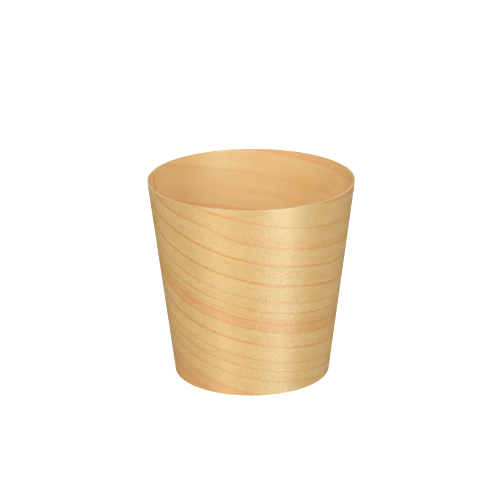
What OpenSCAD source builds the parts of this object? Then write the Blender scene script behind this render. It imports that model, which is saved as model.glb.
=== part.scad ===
// Finger food cup wrapped from one sheet of thin wood veneer, with a separate disc as its floor.
// The sheet is a flat fan that closes into a taper, and its ends are glued in a lap down one side.
// The outer end is planed down to nothing over the length of the lap, so that the outside stays a plain taper,
// and the sheet's inner end, which keeps its full thickness, stands in beneath it.
// The disc is let in a little above the lower edge, so that the sheet's cut edge is the foot.
// The cup's axis is Z, the foot stands on Z = 0, and the front faces -Y.

/* [Cup] */
// Outside diameter at the rim
rim_d = 61; // [52:0.5:76]
// Outside diameter at the foot
foot_d = 46.1; // [38:0.1:52]
// Height from the foot to the rim
cup_h = 59.3; // [40:0.1:80]

/* [Veneer sheet] */
// Thickness of the sheet, measured square to its face
veneer_t = 0.6; // [0.4:0.05:1.2]
// Direction that the sheet's inner end faces the middle from, in degrees from +X towards +Y
seam_at = 166; // [0:1:359]
// Length of the glued lap, measured round the rim
lap_w = 20.5; // [6:0.5:24]

/* [Floor disc] */
// Thickness of the disc
disc_t = 1.6; // [0.8:0.1:4]
// Height of the disc's underside above the foot
disc_up = 3; // [1:0.1:8]
// Glue line between the disc's edge and the sheet
glue_gap = 0.05; // [0.02:0.01:0.2]

/* [Hidden] */
$fn = 180;

// Growth in radius for each unit of height, and the sheet's thickness measured level
taper = (rim_d - foot_d) / 2 / cup_h;
sheet_t = veneer_t * sqrt(1 + taper * taper);

// Angle that the lap takes up; the sheet's ends are cut towards the point of the taper
lap_a = lap_w / (rim_d / 2) * 180 / PI;

// The quarter turn that ends at the seam is lofted through sections at these angles from it
turn = 360;
quarter = 90;
facet_a = 1;
sections = round(quarter / facet_a);
section_angles = [for (i = [0 : sections]) i * quarter / sections - quarter];

// Radius of the sheet's inside away from the lap, at a height above the foot
function inside_r(z) = foot_d / 2 - sheet_t + taper * z;

// Radius of the disc's middle, which stays clear of the lap
core_r = inside_r(0) - 3 * sheet_t;

// How far the sheet's inner face stands in at an angle from the seam: from nothing to the full thickness at the seam
function stand(a) = a > -lap_a ? sheet_t * (1 + a / lap_a) : 0;

// Corners of a section at an angle, each from its radius and height
function section(a, corners) = [for (corner = corners) [corner[0] * cos(a), corner[0] * sin(a), corner[1]]];

// Corners of the wall at an angle from the seam: foot inside and outside, rim outside and inside
function wall_corners(a) = [
    [inside_r(0) - stand(a), 0],
    [inside_r(0) + sheet_t, 0],
    [inside_r(cup_h) + sheet_t, cup_h],
    [inside_r(cup_h) - stand(a), cup_h]
];

// Corners of the disc's outer part at an angle from the seam: underside inside and outside, top outside and inside
function disc_corners(a) = [
    [core_r / 2, disc_up],
    [inside_r(disc_up) - glue_gap - stand(a), disc_up],
    [inside_r(disc_up + disc_t) - glue_gap - stand(a), disc_up + disc_t],
    [core_r / 2, disc_up + disc_t]
];

// Solid through a row of sections with the same number of corners
module lofted(sections) {
    corners = len(sections[0]);
    last = (len(sections) - 1) * corners;
    sides = [
        for (i = [0 : len(sections) - 2], c = [0 : corners - 1])
            let (here = i * corners, next = here + corners, d = (c + 1) % corners)
                [here + c, here + d, next + d, next + c]
    ];
    polyhedron(
        points = [for (corner_row = sections) each corner_row],
        faces = concat(sides, [[3, 2, 1, 0]], [[last, last + 1, last + 2, last + 3]]),
        convexity = 4
    );
}

// The wrapped sheet: three quarters of a turn on the taper, and the quarter with the lap, which ends at the seam
module wall() {
    color([0.91, 0.76, 0.54])
        rotate([0, 0, seam_at])
            union() {
                rotate_extrude(start = 0, angle = turn - quarter)
                    polygon(wall_corners(-quarter));
                lofted([for (a = section_angles) section(a, wall_corners(a))]);
            }
}

// The floor disc, whose edge follows the sheet's inside all the way round
module base() {
    clear_a = glue_gap / core_r * 180 / PI;
    color([0.86, 0.69, 0.47])
        rotate([0, 0, seam_at])
            union() {
                translate([0, 0, disc_up])
                    cylinder(h = disc_t, r = core_r);
                rotate_extrude(start = clear_a, angle = turn - quarter - clear_a)
                    polygon(disc_corners(-quarter));
                lofted([for (a = section_angles) section(a, disc_corners(a))]);
            }
}

wall();
base();
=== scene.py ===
"""Looks of a finger food cup wrapped from one sheet of wood veneer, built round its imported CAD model.

The sheet is a strip that is wrapped once round a taper and goes on beneath its own planed outer end. Its
mesh carries flat-sheet coordinates, so that the growth rings run straight on the flat fan and curve round
the cup, as on real veneer.
"""

import math

import bpy
from mathutils import Matrix, Vector


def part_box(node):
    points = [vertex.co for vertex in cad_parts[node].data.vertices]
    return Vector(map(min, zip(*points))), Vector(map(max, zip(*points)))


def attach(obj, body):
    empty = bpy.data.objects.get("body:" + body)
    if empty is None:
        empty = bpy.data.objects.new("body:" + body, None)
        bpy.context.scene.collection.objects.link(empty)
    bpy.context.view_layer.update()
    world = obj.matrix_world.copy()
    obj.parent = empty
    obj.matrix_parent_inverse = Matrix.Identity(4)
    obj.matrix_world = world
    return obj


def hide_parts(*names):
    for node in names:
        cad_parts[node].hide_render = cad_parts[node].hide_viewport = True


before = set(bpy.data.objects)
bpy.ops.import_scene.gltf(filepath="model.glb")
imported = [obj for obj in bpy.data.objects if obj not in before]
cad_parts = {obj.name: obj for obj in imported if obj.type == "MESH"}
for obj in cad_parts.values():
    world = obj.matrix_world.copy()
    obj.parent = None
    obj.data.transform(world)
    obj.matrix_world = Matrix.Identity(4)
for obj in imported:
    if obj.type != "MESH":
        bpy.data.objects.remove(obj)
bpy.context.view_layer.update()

MM = 0.001

# The wrapped sheet, in metres and degrees; angles run from +X towards +Y
_, wall_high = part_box("wall")
RIM_R = wall_high.x
CUP_H = wall_high.z
FOOT_R = 23.05 * MM
VENEER = 0.6 * MM
FRONT_AT = -90.0
FULL_TURN = 360.0
# The sheet's inner end, the length of the lap round the rim, and the glue in the lap
SEAM_AT = 166.0
LAP_W = 20.5 * MM
GLUE = 0.015 * MM
# Thickness of the outer end's planed edge, and the angle in which the sheet sinks beneath it
FEATHER = 0.05 * MM
EASE_A = 4.0

# Mesh detail: spacing of the columns in degrees and of the rows, radius of the rounded edges, steps in each,
# and distance from it to the row that holds its shape
COLUMN_STEP = 1.0
ROW_STEP = 1.0 * MM
ARRIS = 0.07 * MM
ARRIS_STEPS = 3
SUPPORT = 0.08 * MM

# Slow unevenness of thin veneer: amplitude in metres, waves round the cup, waves up it, phase
RIPPLES = (
    (0.020 * MM, 5, 0.7, 0.4),
    (0.012 * MM, 9, 1.6, 2.1),
    (0.006 * MM, 23, 0.5, 4.0),
)
# Angle past the lap in which the unevenness comes in
RIPPLE_EASE_A = 15.0

TAPER = (RIM_R - FOOT_R) / CUP_H
SLANT = math.sqrt(1 + TAPER * TAPER)
SHEET_T = VENEER * SLANT
LAP_A = math.degrees(LAP_W / RIM_R)

# The flat fan: distance of its foot edge from the fan's point, and the sine of the taper's half angle
FAN_SINE = TAPER / SLANT
FAN_FOOT = FOOT_R / FAN_SINE

# Direction in which the growth rings run square to the fan's radius
GRAIN_AT = 15.0

# How the rings stray from straight lines, in mm of height and degrees. The upper ones lie higher at the
# right, and each soft step there is given by its middle and its width
RIGHT_LIFT = 0.70
RIGHT_STEP = (-65, 25)
BACK_STEP = (15, 12)
UPPER_STEP = (40, 6)
# Waves at the back: lift, height and its spread
BACK_WAVES = ((0.3, 48.5, 3), (-0.6, 55, 3))
# Waves at the front left: lift, angle and its spread, height and its spread
LEFT_WAVES = ((1.3, -120, 14, 49, 4), (-0.8, -124, 16, 56, 3))


def fan_point(angle, z):
    """A point's place on the flat sheet, in metres: along the grain, and across it from the fan's point."""
    reach = FAN_FOOT + z * SLANT
    turn = math.radians(angle - GRAIN_AT) * FAN_SINE
    return reach * math.sin(turn), reach * math.cos(turn)


def front_height(across):
    """Height above the foot at which a straight line of grain crosses the front of the cup, in metres."""
    front_turn = math.radians(FRONT_AT - GRAIN_AT) * FAN_SINE
    return (across / math.cos(front_turn) - FAN_FOOT) / SLANT


def bell(x, middle, width):
    """A hump that rises to 1 at its middle."""
    return math.exp(-(((x - middle) / width) ** 2))


def soft_step(x, middle, width):
    """A soft rise from 0 to 1 about its middle."""
    return 0.5 * (1 + math.tanh((x - middle) / width))


def grain_drift(angle, height):
    """How far the rings stray from straight lines, in metres, as the photograph shows them."""
    level = height / MM
    back = soft_step(angle, *BACK_STEP)
    lift = RIGHT_LIFT * soft_step(angle, *RIGHT_STEP) * soft_step(level, *UPPER_STEP) * (1 - back)
    for size, at, spread in BACK_WAVES:
        lift += back * size * bell(level, at, spread)
    for size, azimuth, angle_spread, at, spread in LEFT_WAVES:
        lift += size * bell(angle, azimuth, angle_spread) * bell(level, at, spread)
    return lift * MM


def grain_coordinates(angle, z, depth):
    """What the material reads, in millimetres: along the grain, height at the front, depth in the sheet."""
    along, across = fan_point(angle, z)
    height = front_height(across)
    return along / MM, (height - grain_drift(angle, height)) / MM, depth / MM


def thickness(turn):
    """The sheet's thickness at an angle past the seam; its outer end is planed down over the lap."""
    return max(FEATHER, SHEET_T * min(1.0, 1 + turn / LAP_A))


def sink(turn):
    """How far the sheet has sunk from the taper, past the seam, to lie beneath its own outer end."""
    past = turn - (FULL_TURN - LAP_A)
    ease = max(0.0, min(1.0, 1 + past / EASE_A))
    return (3 - 2 * ease) * ease * ease * (max(FEATHER, SHEET_T * past / LAP_A) + GLUE)


def ripple(angle, z):
    """Slow unevenness, which fades at the lap, where two layers are glued together."""
    share = z / CUP_H
    turn = math.radians(angle)
    total = 0.0
    for size, round_waves, up_waves, phase in RIPPLES:
        total += size * math.sin(turn * round_waves + phase) * math.cos(math.pi * share * up_waves + phase)
    half_turn = FULL_TURN / 2
    from_seam = abs((angle - SEAM_AT + half_turn) % FULL_TURN - half_turn)
    return total * min(1.0, max(0.0, (from_seam - LAP_A) / RIPPLE_EASE_A))


def sheet_rows():
    """Inner half of the sheet's section, foot to rim: depth from the inner face, height, share of cut."""
    rows = []
    for i in range(ARRIS_STEPS + 1):
        turn = math.pi / 2 * i / ARRIS_STEPS
        rows.append((ARRIS * (1 - math.sin(turn)), ARRIS * (1 - math.cos(turn)), 1 - i / ARRIS_STEPS))
    count = round(CUP_H / ROW_STEP)
    low, high = ARRIS + SUPPORT, CUP_H - ARRIS - SUPPORT
    rows += [(0.0, low + (high - low) * i / count, 0.0) for i in range(count + 1)]
    rows += [(depth, CUP_H - z, cut) for depth, z, cut in reversed(rows[: ARRIS_STEPS + 1])]
    return rows


def sheet_columns():
    """Angles past the seam, from the outer to the inner end, each with its inset and its share of end cut."""
    start, end = -LAP_A, FULL_TURN
    arris_a = math.degrees(ARRIS / RIM_R)
    support_a = math.degrees(SUPPORT / RIM_R)
    ends = []
    for i in range(ARRIS_STEPS + 1):
        turn = math.pi / 2 * i / ARRIS_STEPS
        ends.append((arris_a * (1 - math.sin(turn)), ARRIS * (1 - math.cos(turn)), i / ARRIS_STEPS))
    first, last = start + arris_a + support_a, end - arris_a - support_a
    count = round((last - first) / COLUMN_STEP)
    middle = [(first + (last - first) * i / count, 0.0, 0.0) for i in range(count + 1)]
    closing = [(end - a, inset, cut) for a, inset, cut in ends]
    return [(start + a, inset, cut) for a, inset, cut in reversed(ends)] + middle + closing


def new_object(name, points, faces, attributes):
    """Makes a smooth mesh object with the given vector and number attributes on its points."""
    mesh = bpy.data.meshes.new(name)
    mesh.from_pydata(points, [], faces)
    for key, values in attributes.items():
        if isinstance(values[0], float):
            mesh.attributes.new(key, "FLOAT", "POINT").data.foreach_set("value", values)
        else:
            flat = [number for value in values for number in value]
            mesh.attributes.new(key, "FLOAT_VECTOR", "POINT").data.foreach_set("vector", flat)
    mesh.shade_smooth()
    mesh.validate()
    piece = bpy.data.objects.new(name, mesh)
    bpy.context.scene.collection.objects.link(piece)
    return piece


def stain_and_painted_shade(depth, z, cut):
    """Share of stain and painted shade in a cut edge: the foot's edge is dark all through, as painted shade
    where it meets the floor, and the rim's on its inner half, as painted shade just inside the rim.
    """
    return float(cut) if z < CUP_H / 2 or depth < SHEET_T / 2 else 0.0


def make_sheet():
    """The veneer sheet, wrapped once round and on beneath its own outer end."""
    rows = sheet_rows()
    section = rows + [(SHEET_T - depth, z, cut) for depth, z, cut in reversed(rows)]
    columns = sheet_columns()
    points, grain, cuts, stains_and_painted_shades, ends, rises = [], [], [], [], [], []
    for turn, inset, end in columns:
        angle = SEAM_AT - FULL_TURN + turn
        radians = math.radians(angle)
        out = Vector((math.cos(radians), math.sin(radians), 0))
        for depth, z, cut in section:
            # The inset rounds the ends' edges, and the outer end is planed away from its inner face
            depth_in = inset + depth * (1 - 2 * inset / SHEET_T)
            depth_in = SHEET_T - (SHEET_T - depth_in) * thickness(turn) / SHEET_T
            z_in = inset + z * (1 - 2 * inset / CUP_H)
            radius = FOOT_R - SHEET_T + TAPER * z_in - sink(turn) + depth_in + ripple(angle, z_in)
            points.append(out * radius + Vector((0, 0, z_in)))
            grain.append(grain_coordinates(angle, z_in, depth_in))
            cuts.append(float(cut))
            stains_and_painted_shades.append(stain_and_painted_shade(depth, z, cut))
            ends.append(float(end))
            rises.append(tuple((out * TAPER + Vector((0, 0, 1))).normalized()))
    size, half = len(section), len(rows)
    faces = []
    for i in range(len(columns) - 1):
        here, there = i * size, (i + 1) * size
        for k in range(size):
            after = (k + 1) % size
            faces.append((here + k, here + after, there + after, there + k))
    for base, flip in ((0, True), ((len(columns) - 1) * size, False)):
        for k in range(half - 1):
            quad = (base + k, base + k + 1, base + size - 2 - k, base + size - 1 - k)
            faces.append(quad[::-1] if flip else quad)
    attributes = {"grain": grain, "cut": cuts, "stain_and_painted_shade": stains_and_painted_shades, "end": ends, "rise": rises}
    return new_object("veneer_sheet", points, faces, attributes)


# The floor disc, in metres and degrees
disc_low, disc_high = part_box("base")
DISC_R = disc_high.x
DISC_ARRIS = 0.12 * MM
DISC_LOOPS = 24
DISC_SPOKES = 360
# The disc's grain: its direction, the heart of its rings in mm, how much they bend, and the distance from the
# heart in mm at which the coordinate across the grain is 0
DISC_GRAIN_AT = 24.0
DISC_HEART = (9.0, -46.0)
DISC_BEND = 0.22
DISC_RINGS_FROM = 20
# Distance from the disc's edge at which the cut edges' colour, partly a painted highlight, starts, and the
# distance in which it comes in
DISC_CUT_FROM = 1.2 * MM
DISC_CUT_OVER = 1.0 * MM


def disc_profile():
    """Half section of the disc from the middle of its top, over the edge, to the middle of its underside."""
    top, bottom = disc_high.z, disc_low.z
    lower_r = DISC_R - TAPER * (top - bottom)
    profile = [((DISC_R - DISC_ARRIS) * i / DISC_LOOPS, top) for i in range(1, DISC_LOOPS + 1)]
    for i in range(1, ARRIS_STEPS + 1):
        turn = math.pi / 2 * i / ARRIS_STEPS
        along, down = DISC_ARRIS * (1 - math.sin(turn)), DISC_ARRIS * (1 - math.cos(turn))
        profile.append((DISC_R - along, top - down))
    for i in range(ARRIS_STEPS + 1):
        turn = math.pi / 2 * i / ARRIS_STEPS
        along, up = DISC_ARRIS * (1 - math.cos(turn)), DISC_ARRIS * (1 - math.sin(turn))
        profile.append((lower_r - along, bottom + up))
    profile += [((lower_r - DISC_ARRIS) * i / DISC_LOOPS, bottom) for i in range(DISC_LOOPS - 1, 0, -1)]
    return profile


def disc_inset(angle):
    """How far the disc's edge keeps in at an angle, to follow the sheet where it stands in at the lap."""
    return sink(FULL_TURN - (SEAM_AT - angle) % FULL_TURN)


def make_disc():
    """The floor disc, cut from flat wood whose grain crosses the cup."""
    profile = disc_profile()
    points = [Vector((0, 0, disc_high.z))]
    for radius, z in profile:
        for spoke in range(DISC_SPOKES):
            angle = FULL_TURN * spoke / DISC_SPOKES
            turn = math.radians(angle)
            reach = radius * (1 - disc_inset(angle) / DISC_R)
            points.append(Vector((reach * math.cos(turn), reach * math.sin(turn), z)))
    points.append(Vector((0, 0, disc_low.z)))
    last = len(points) - 1
    faces = []
    for spoke in range(DISC_SPOKES):
        after = (spoke + 1) % DISC_SPOKES
        faces.append((0, 1 + spoke, 1 + after))
        for ring in range(len(profile) - 1):
            inner, outer = 1 + ring * DISC_SPOKES, 1 + (ring + 1) * DISC_SPOKES
            faces.append((inner + spoke, outer + spoke, outer + after, inner + after))
        rim = 1 + (len(profile) - 1) * DISC_SPOKES
        faces.append((rim + spoke, last, rim + after))
    turned = Matrix.Rotation(math.radians(-DISC_GRAIN_AT), 3, "Z")
    grain, cuts, rises = [], [], []
    for point in points:
        x, y, z = (turned @ point) / MM
        reach = math.hypot(x * DISC_BEND - DISC_HEART[0], y - DISC_HEART[1])
        grain.append((x, reach - DISC_RINGS_FROM, z))
        cuts.append(max(0.0, min(1.0, (point.xy.length - (DISC_R - DISC_CUT_FROM)) / DISC_CUT_OVER)))
        rises.append((0.0, 1.0, 0.0))
    return new_object("floor_disc", points, faces, {"grain": grain, "cut": cuts, "rise": rises})


class Shader:
    """Adds shader nodes to a material and links them."""

    def __init__(self, name):
        self.material = bpy.data.materials.new(name)
        self.material.use_nodes = True
        self.tree = self.material.node_tree
        self.tree.nodes.clear()

    def node(self, kind, **settings):
        node = self.tree.nodes.new(kind)
        for key, value in settings.items():
            setattr(node, key, value)
        return node

    def put(self, socket, value):
        """Links a socket to an output, or sets its value."""
        if isinstance(value, bpy.types.NodeSocket):
            self.tree.links.new(value, socket)
        else:
            socket.default_value = value

    def attribute(self, name, output="Vector"):
        """The mesh's attribute, which is 0 on a mesh that lacks it."""
        return self.node("ShaderNodeAttribute", attribute_name=name).outputs[output]

    def math(self, operation, *values):
        node = self.node("ShaderNodeMath", operation=operation)
        for socket, value in zip(node.inputs, values):
            self.put(socket, value)
        return node.outputs[0]

    def times(self, first, second):
        return self.math("MULTIPLY", first, second)

    def total(self, start, *parts):
        """The start plus each part's value times its weight."""
        for value, weight in parts:
            start = self.math("MULTIPLY_ADD", value, weight, start)
        return start

    def between(self, share, at_zero, at_one):
        """The value at a share of the way from one value to another."""
        return self.math("MULTIPLY_ADD", share, at_one - at_zero, at_zero)

    def step(self, value, low, high, start=0.0, end=1.0):
        """Smooth step from start to end while value goes from low to high."""
        node = self.node("ShaderNodeMapRange", interpolation_type="SMOOTHSTEP")
        names = ("Value", "From Min", "From Max", "To Min", "To Max")
        for key, number in zip(names, (value, low, high, start, end)):
            self.put(node.inputs[key], number)
        return node.outputs[0]

    def split(self, vector):
        node = self.node("ShaderNodeSeparateXYZ")
        self.put(node.inputs[0], vector)
        return node.outputs

    def join(self, x, y, z):
        node = self.node("ShaderNodeCombineXYZ")
        for socket, value in zip(node.inputs, (x, y, z)):
            self.put(socket, value)
        return node.outputs[0]

    def noise(self, x, y, z, detail=2.0, roughness=0.5):
        """Noise from 0 to 1 at a place whose unit is one blotch."""
        node = self.node("ShaderNodeTexNoise", noise_dimensions="3D")
        self.put(node.inputs["Vector"], self.join(x, y, z))
        for key, value in (("Scale", 1.0), ("Detail", detail), ("Roughness", roughness)):
            self.put(node.inputs[key], value)
        return node.outputs[0]

    def pattern(self, first, second, fineness, layer):
        """One layer of noise, with the given blotches per mm in two directions and octaves of detail."""
        per_first, per_second, detail = fineness
        return self.noise(self.times(first, per_first), self.times(second, per_second), layer, detail)

    def sway(self, noise):
        """Noise from 0 to 1, moved to lie about 0."""
        return self.math("SUBTRACT", noise, 0.5)

    def mix(self, share, first, second, blend="MIX"):
        """Mixes two colours."""
        node = self.node("ShaderNodeMix", data_type="RGBA", blend_type=blend)
        self.put(node.inputs[0], share)
        for socket, colour in ((node.inputs[6], first), (node.inputs[7], second)):
            self.put(socket, (*colour, 1.0) if isinstance(colour, tuple) else colour)
        return node.outputs[2]


# Growth rings of the sheet: height at the front in mm, strength, and length of the soft tail above in mm
SHEET_RINGS = (
    (62.8, 0.45, 1.2), (59.4, 0.12, 1.2), (55.3, 0.80, 1.2), (43.1, 1.00, 1.4),
    (36.9, 1.00, 1.3), (31.8, 0.60, 1.0), (28.4, 0.95, 0.9), (26.2, 0.65, 0.8), (24.8, 0.85, 1.0),
    (21.9, 0.85, 1.0), (17.2, 1.00, 1.3), (12.2, 0.70, 1.2), (9.2, 0.76, 1.2), (5.8, 0.70, 1.2),
    (0.8, 0.74, 1.2), (-3.0, 0.80, 1.2), (-7.6, 0.60, 1.4), (-12.0, 0.60, 1.4), (-16.0, 0.50, 1.4),
    (-19.0, 0.50, 1.4),
)
# Rings that die out, with the lengths along the grain in mm between which they show
SHORT_RINGS = (
    (48.5, 0.70, 1.5, -200.0, 8.0), (48.5, 0.42, 1.5, 14.0, 52.0), (56.2, 0.60, 0.9, 8.0, 42.0),
    (56.1, 0.40, 1.0, -66.0, -51.0), (50.2, 0.22, 1.0, -50.0, -18.0), (27.3, 0.45, 0.7, -60.0, -46.0),
    (25.5, 0.40, 0.6, -50.0, -20.0), (23.7, 0.45, 0.8, -72.0, -50.0), (22.9, 0.35, 0.6, -46.0, -20.0),
)
# Reddish bands of the sheet: lowest and highest height at the front in mm, strength, and, for a band that
# dies out, the lengths between which it shows
SHEET_BANDS = (
    (62.5, 66.0, 0.45), (48.8, 51.0, 0.30, -200.0, 52.0), (38.5, 42.6, 0.20), (22.0, 25.4, 0.62),
    (10.0, 16.0, 0.10), (-8.5, 1.2, 0.58),
    # The last band on the next line warms the lap, partly as glue and partly as painted shade where two
    # layers let less light through
    (1.2, 10.5, 0.24, -200.0, -55.0), (41.3, 44.2, 0.30, 30.0, 60.0), (40.0, 75.0, 0.25, 55.0, 90.0),
)
# Rings and bands of the disc, on its own coordinate across the grain
DISC_RINGS = (
    (6.0, 0.5, 1.6), (11.5, 0.6, 1.8), (16.0, 0.5, 1.6), (21.8, 0.7, 1.8), (27.0, 0.55, 1.6),
    (33.5, 0.65, 1.8), (38.5, 0.5, 1.6), (44.0, 0.6, 1.8), (50.5, 0.5, 1.6),
)
DISC_BANDS = ((33.5, 37.0, 0.4),)

# Distances in mm in which a ring darkens, a band comes in and goes out, and a short one fades at its ends,
# and the power that makes a ring's line thinner than its tail
RING_EDGE = 0.50
RING_POWER = 3.5
BAND_EDGE_LOW = 0.6
BAND_EDGE_HIGH = 1.2
END_FADE = 3.0

# Colours of the wood: ground and paler ground, reddish bands, rings, cut edges, whose pale colour is partly a
# painted highlight, stained edges, which are partly painted shade, the end's cut
GROUND = (0.695, 0.435, 0.158)
GROUND_PALE = (0.715, 0.480, 0.195)
WARM = (0.700, 0.350, 0.128)
RING = (0.695, 0.298, 0.055)
# Cut edges are pale partly as end grain and partly as a painted highlight where the rim's outer edge catches
# the light
CUT_AND_PAINTED_HIGHLIGHT = (0.660, 0.580, 0.345)
# Dark brown, partly end-grain stain and partly painted shade where the foot meets the floor and just inside
# the rim
STAIN_AND_PAINTED_SHADE = (0.480, 0.255, 0.070)
END = (0.660, 0.345, 0.120)
# Colour factors in the dark and the pale specks of the wood
SPECK_DARK = (0.955, 0.925, 0.850)
SPECK_PALE = (1.045, 1.075, 1.150)
# How far each colour covers the wood
LINE_COVER = 0.95
CUT_AND_HIGHLIGHT_COVER = 0.7
STAIN_AND_SHADE_COVER = 0.9

# Patterns in the wood: fibres, cells, slow and quick straying of the rings, their wear, patches and blotches.
# Each has its blotches per mm along the grain, its blotches per mm across it, and its octaves of detail
FIBRES = (1.0, 2.8, 2.0)
CELLS = (2.1, 3.0, 1.0)
WANDER = (0.05, 0.06, 3.0)
FLUTTER = (0.35, 0.3, 2.0)
WORN = (0.12, 0.5, 2.0)
PATCHES = (0.07, 0.25, 3.0)
BLOTCHES = (0.30, 0.45, 2.0)
# Marks that cross the grain: blotches per mm along the rising and the falling slope, and octaves
RISING_MARKS = (0.55, 2.5, 1.0)
FALLING_MARKS = (3.0, 0.80, 1.0)
# The falling marks take over between these lengths along the grain, up to this share
FALLING_FROM = (-68.0, -40.0)
FALLING_SHARE = 0.80

# Depth in mm over which the looks of the inner face give way to those of the outer face
INNER_SKIN = (0.1, 0.4)
# How far a ring strays, in mm, at the full height of each pattern and for each mm of depth
WANDER_BY = 0.8
FLUTTER_BY = 0.30
CELLS_BY = 0.35
DEPTH_BY = 0.25
# Rings are worn in places, and stronger at the left of the cup
WORN_FROM = (0.3, 0.7)
WORN_TO = (0.80, 1.15)
LEFT_FROM = (-74.0, -52.0)
LEFT_STRENGTH = 1.40
# Weights on the outer and on the inner face: of lines, of soft tails, and of all the mottling
LINE_WEIGHTS = (1.0, 0.34)
TAIL_WEIGHTS = (0.24, 0.42)
MOTTLE_WEIGHTS = (1.0, 0.60)
# The ground turns paler between these values of its patches
PALE_FROM = (0.35, 0.7)
PATCH_WARMTH = 0.6
BLOTCH_WARMTH = 0.7
# Specks: middle on the outer and on the inner face, whose paler middle is painted light on the cup's inside,
# weights of cells and fibres, and of marks that rise and that fall, the falling ones partly painted glints
SPECK_MIDDLES_WITH_INNER_PAINTED_LIGHT = (0.5, 0.8)
CELL_SPECK = 2.3
FIBRE_SPECK = 1.5
# The falling marks' stronger specks are partly painted glints that stand in for the sheen's sparkle
MARK_SPECKS_AND_PAINTED_GLINTS = (2.3, 3.2)
# Relief: its height and the weights of the patterns; cells and marks have one where the marks rise and one
# where they fall
RELIEF = 0.080 * MM
FIBRE_RELIEF = 0.30
CELL_RELIEFS = (0.45, 1.35)
MARK_RELIEFS = (0.55, 1.35)
BLOTCH_RELIEF = 0.5
LINE_RELIEF = 0.10
# Roughness: its base, below 0 because every pattern adds to it, and what each pattern adds at its highest
BASE_ROUGHNESS = -0.15
CELL_ROUGHNESS = 0.35
MARK_ROUGHNESS = 0.45
BLOTCH_ROUGHNESS = 0.40
INNER_ROUGHNESS = 0.27
CUT_ROUGHNESS = 0.2
ANISOTROPY = 0.8
SPECULAR = 0.5


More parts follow.
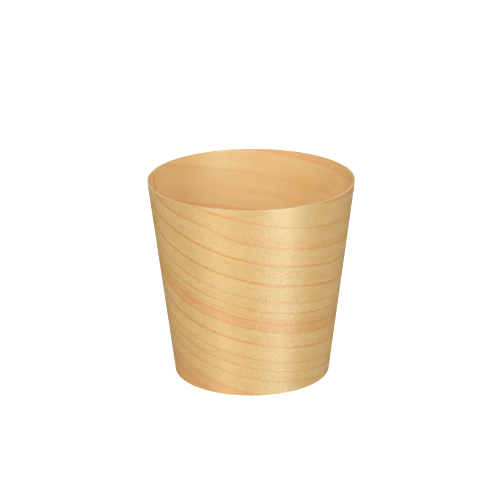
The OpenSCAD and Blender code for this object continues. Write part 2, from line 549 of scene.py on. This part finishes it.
class Wood(Shader):
    """Planed softwood. It reads its grain coordinates, in millimetres, and its cut edges from the mesh."""

    def __init__(self, name, rings, bands):
        super().__init__(name)
        self.along, self.across, self.depth = self.split(self.attribute("grain"))
        self.cut = self.attribute("cut", "Fac")
        self.inside = self.step(self.depth, *INNER_SKIN, 1.0, 0.0)
        self.add_patterns()
        height = self.ring_height()
        self.add_rings(height, rings)
        self.add_bands(height, bands)
        self.add_surface()

    def add_patterns(self):
        """Fibres along the grain, finer cells, broad patches and blotches, and marks that cross the grain."""
        along, across = self.along, self.across
        self.fibres = self.pattern(along, across, FIBRES, layer=self.depth)
        self.cells = self.pattern(along, across, CELLS, layer=self.depth)
        self.patches = self.pattern(along, across, PATCHES, layer=2.0)
        self.blotches = self.pattern(along, across, BLOTCHES, layer=7.0)
        slopes = (self.math("ADD", along, across), self.math("SUBTRACT", along, across))
        rising = self.pattern(*slopes, RISING_MARKS, layer=1.0)
        falling = self.pattern(*slopes, FALLING_MARKS, layer=6.0)
        self.falling_share = self.step(along, *FALLING_FROM, 0.0, FALLING_SHARE)
        rising_share = self.math("SUBTRACT", 1.0, self.falling_share)
        self.marks = self.total(self.times(rising, rising_share), (falling, self.falling_share))

    def ring_height(self):
        """Height on which the rings lie; it wanders slightly along the grain."""
        wander = self.pattern(self.along, self.across, WANDER, layer=0.0)
        flutter = self.pattern(self.along, self.across, FLUTTER, layer=4.0)
        return self.total(
            self.across,
            (self.sway(wander), WANDER_BY),
            (self.sway(flutter), FLUTTER_BY),
            (self.sway(self.cells), CELLS_BY),
            (self.depth, DEPTH_BY),
        )

    def within(self, pulse, start, stop):
        """Keeps a pulse between two lengths along the grain, with soft ends."""
        pulse = self.times(pulse, self.step(self.along, start - END_FADE, start + END_FADE))
        return self.times(pulse, self.step(self.along, stop - END_FADE, stop + END_FADE, 1.0, 0.0))

    def add_rings(self, height, rings):
        """Thin dark lines, sharp below, with soft tails above."""
        line, tail = 0.0, 0.0
        for at, strength, fade, *reach in rings:
            below = self.step(height, at - RING_EDGE, at)
            above = self.step(height, at, at + fade, 1.0, 0.0)
            pulse = self.times(below, above)
            if reach:
                pulse = self.within(pulse, *reach)
            line = self.total(line, (self.math("POWER", pulse, RING_POWER), strength))
            tail = self.total(tail, (pulse, strength))
        worn = self.pattern(self.along, self.across, WORN, layer=9.0)
        line = self.times(line, self.step(worn, *WORN_FROM, *WORN_TO))
        line = self.times(line, self.step(self.along, *LEFT_FROM, LEFT_STRENGTH, 1.0))
        self.line = self.times(line, self.between(self.inside, *LINE_WEIGHTS))
        self.tail = self.times(tail, self.between(self.inside, *TAIL_WEIGHTS))

    def add_bands(self, height, bands):
        """Broad reddish bands."""
        self.band = 0.0
        for low, high, strength, *reach in bands:
            above = self.step(height, low - BAND_EDGE_LOW, low + BAND_EDGE_LOW)
            below = self.step(height, high - BAND_EDGE_HIGH, high + BAND_EDGE_HIGH, 1.0, 0.0)
            pulse = self.times(above, below)
            if reach:
                pulse = self.within(pulse, *reach)
            self.band = self.total(self.band, (pulse, strength))

    def colour(self):
        """Ground, bands, rings and specks, and over them the cut edges, whose pale colour is partly a painted
        highlight, and their stain, which is partly painted shade.
        """
        mottle = self.between(self.inside, *MOTTLE_WEIGHTS)
        warmth = self.total(
            self.math("ADD", self.tail, self.band),
            (self.sway(self.patches), PATCH_WARMTH),
            (self.sway(self.blotches), self.times(mottle, BLOTCH_WARMTH)),
        )
        ground = self.mix(self.step(self.patches, *PALE_FROM), GROUND, GROUND_PALE)
        colour = self.mix(self.step(warmth, 0.0, 1.0), ground, WARM)
        colour = self.mix(self.math("MINIMUM", self.times(self.line, LINE_COVER), 1.0), colour, RING)
        speck = self.total(
            0.0,
            (self.sway(self.cells), CELL_SPECK),
            (self.sway(self.fibres), FIBRE_SPECK),
            # Falling marks speck harder, partly as wood marks and partly as painted glints of the sheen
            (self.sway(self.marks), self.between(self.falling_share, *MARK_SPECKS_AND_PAINTED_GLINTS)),
        )
        # The inner face's specks sit paler: painted light on the cup's inside
        speck = self.total(self.between(self.inside, *SPECK_MIDDLES_WITH_INNER_PAINTED_LIGHT), (speck, mottle))
        colour = self.mix(1.0, colour, self.mix(speck, SPECK_DARK, SPECK_PALE), "MULTIPLY")
        # Pale cut edges: partly end grain, partly a painted highlight where the rim's outer edge catches the
        # light
        colour = self.mix(self.times(self.cut, CUT_AND_HIGHLIGHT_COVER), colour, CUT_AND_PAINTED_HIGHLIGHT)
        # Painted shade on the foot's edge and just inside the rim, partly end-grain stain
        colour = self.mix(self.times(self.attribute("stain_and_painted_shade", "Fac"), STAIN_AND_SHADE_COVER), colour, STAIN_AND_PAINTED_SHADE)
        return self.mix(self.attribute("end", "Fac"), colour, END)

    def relief(self):
        """Fine relief that sparkles in the sheen."""
        bump = self.node("ShaderNodeBump")
        bump.inputs["Strength"].default_value = 1.0
        bump.inputs["Distance"].default_value = RELIEF
        height = self.total(
            0.0,
            (self.fibres, FIBRE_RELIEF),
            (self.cells, self.between(self.falling_share, *CELL_RELIEFS)),
            (self.marks, self.between(self.falling_share, *MARK_RELIEFS)),
            (self.blotches, BLOTCH_RELIEF),
            (self.line, LINE_RELIEF),
        )
        self.put(bump.inputs["Height"], height)
        return bump.outputs[0]

    def add_surface(self):
        """The shader itself, which is rougher on the inner face and the cut edges."""
        roughness = self.total(
            BASE_ROUGHNESS,
            (self.cells, CELL_ROUGHNESS),
            (self.marks, MARK_ROUGHNESS),
            (self.blotches, BLOTCH_ROUGHNESS),
            (self.inside, INNER_ROUGHNESS),
            (self.cut, CUT_ROUGHNESS),
        )
        shader = self.node("ShaderNodeBsdfPrincipled")
        self.put(shader.inputs["Base Color"], self.colour())
        self.put(shader.inputs["Roughness"], roughness)
        self.put(shader.inputs["Normal"], self.relief())
        self.put(shader.inputs["Tangent"], self.attribute("rise"))
        shader.inputs["Anisotropic"].default_value = ANISOTROPY
        shader.inputs["Specular IOR Level"].default_value = SPECULAR
        output = self.node("ShaderNodeOutputMaterial")
        self.put(output.inputs["Surface"], shader.outputs[0])


# The camera, in metres and degrees, as fitted to the photograph: what it looks at, its place and its lens
CAMERA_AT = Vector((-0.000447, 0.0, 0.03708))
CAMERA_UP = 19.16
CAMERA_AWAY = 0.6755
CAMERA_ROLL = -0.36
CAMERA_LENS = 164.15
CAMERA_SENSOR = 36.0
CAMERA_NEAR = 0.01
CAMERA_FAR = 20.0

# The floor and the surround, which are white in the photograph
FLOOR_HALF = 4.0
FLOOR_DROP = 0.02 * MM
FLOOR_TONE = 0.86
FLOOR_ROUGHNESS = 0.9
FLOOR_GLOW = 0.40
SURROUND_GLOW = 0.62

# Softboxes: name, azimuth, elevation, distance, width and height, and power in watts
SOFTBOXES = (
    ("front", -90, 35, 2.2, (1.1, 0.8), 29.7),
    ("front_left", -130, 20, 2.2, (1.1, 0.8), 3.0),
    ("back_right", 35, 25, 2.2, (1.1, 1.1), 11.6),
    ("back_left", 145, 25, 2.2, (1.1, 1.1), 8.5),
)
# Strips that show only as a sheen, each with its tint
SHEENS = (
    ("right_sheen", -53, 5, 1.6, (0.88, 1.44), 176.0, (0.77, 1.0, 0.88)),
    ("left_sheen", -130, 8, 1.6, (1.28, 1.44), 43.0, (0.75, 0.97, 1.0)),
)


def direction(azimuth, up):
    """Unit vector towards an azimuth, counted from +X towards +Y, and an elevation."""
    a, e = math.radians(azimuth), math.radians(up)
    return Vector((math.cos(e) * math.cos(a), math.cos(e) * math.sin(a), math.sin(e)))


def make_camera():
    """A long lens at the photograph's distance, height and slight roll."""
    back = direction(FRONT_AT, CAMERA_UP)
    side = Vector((1, 0, 0))
    up = back.cross(side)
    roll = math.radians(CAMERA_ROLL)
    right = math.cos(roll) * side + math.sin(roll) * up
    top = -math.sin(roll) * side + math.cos(roll) * up
    data = bpy.data.cameras.new("camera")
    data.sensor_width = CAMERA_SENSOR
    data.lens = CAMERA_LENS
    data.clip_start = CAMERA_NEAR
    data.clip_end = CAMERA_FAR
    camera = bpy.data.objects.new("camera", data)
    turned = Matrix((right, top, back)).transposed().to_4x4()
    camera.matrix_world = Matrix.Translation(CAMERA_AT + back * CAMERA_AWAY) @ turned
    bpy.context.scene.collection.objects.link(camera)
    bpy.context.scene.camera = camera


def make_light(name, azimuth, up, away, size, power, colour=(1.0, 1.0, 1.0), glossy_only=False):
    """A softbox that faces the cup, or a strip that shows only as a sheen."""
    data = bpy.data.lights.new(name, "AREA")
    data.shape = "RECTANGLE"
    data.size, data.size_y = size
    data.energy = power
    data.color = colour
    light = bpy.data.objects.new(name, data)
    towards = direction(azimuth, up)
    light.location = Vector((0, 0, CUP_H / 2)) + towards * away
    light.rotation_euler = (-towards).to_track_quat("-Z", "Y").to_euler()
    light.visible_camera = False
    light.visible_diffuse = not glossy_only
    bpy.context.scene.collection.objects.link(light)


def make_floor():
    """A pale floor that glows a little and sheds no light on the cup."""
    mesh = bpy.data.meshes.new("floor")
    signs = ((-1, -1), (1, -1), (1, 1), (-1, 1))
    mesh.from_pydata([(x * FLOOR_HALF, y * FLOOR_HALF, 0) for x, y in signs], [], [(0, 1, 2, 3)])
    floor = bpy.data.objects.new("floor", mesh)
    floor.location.z = -FLOOR_DROP
    floor.visible_diffuse = False
    floor.visible_glossy = False
    bpy.context.scene.collection.objects.link(floor)
    s = Shader("floor")
    shader = s.node("ShaderNodeBsdfPrincipled")
    shader.inputs["Base Color"].default_value = (FLOOR_TONE, FLOOR_TONE, FLOOR_TONE, 1)
    shader.inputs["Roughness"].default_value = FLOOR_ROUGHNESS
    shader.inputs["Specular IOR Level"].default_value = 0.0
    shader.inputs["Emission Color"].default_value = (1, 1, 1, 1)
    shader.inputs["Emission Strength"].default_value = FLOOR_GLOW
    output = s.node("ShaderNodeOutputMaterial")
    s.put(output.inputs["Surface"], shader.outputs[0])
    mesh.materials.append(s.material)


def make_surround():
    """An even white surround that lights the cup and isn't mirrored in it."""
    world = bpy.data.worlds.new("surround")
    world.use_nodes = True
    background = world.node_tree.nodes["Background"]
    background.inputs["Color"].default_value = (1, 1, 1, 1)
    background.inputs["Strength"].default_value = SURROUND_GLOW
    world.cycles_visibility.glossy = False
    bpy.context.scene.world = world


def make_studio():
    """The floor, the surround and the lights."""
    make_floor()
    make_surround()
    for softbox in SOFTBOXES:
        make_light(*softbox)
    for sheen in SHEENS:
        make_light(*sheen, glossy_only=True)
    bpy.context.scene.view_settings.view_transform = "Standard"


sheet = make_sheet()
sheet.data.materials.append(Wood("pine_veneer", SHEET_RINGS + SHORT_RINGS, SHEET_BANDS).material)
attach(sheet, "root")
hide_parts("wall")

disc = make_disc()
disc.data.materials.append(Wood("pine_disc", DISC_RINGS, DISC_BANDS).material)
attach(disc, "root")
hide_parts("base")

make_studio()
make_camera()
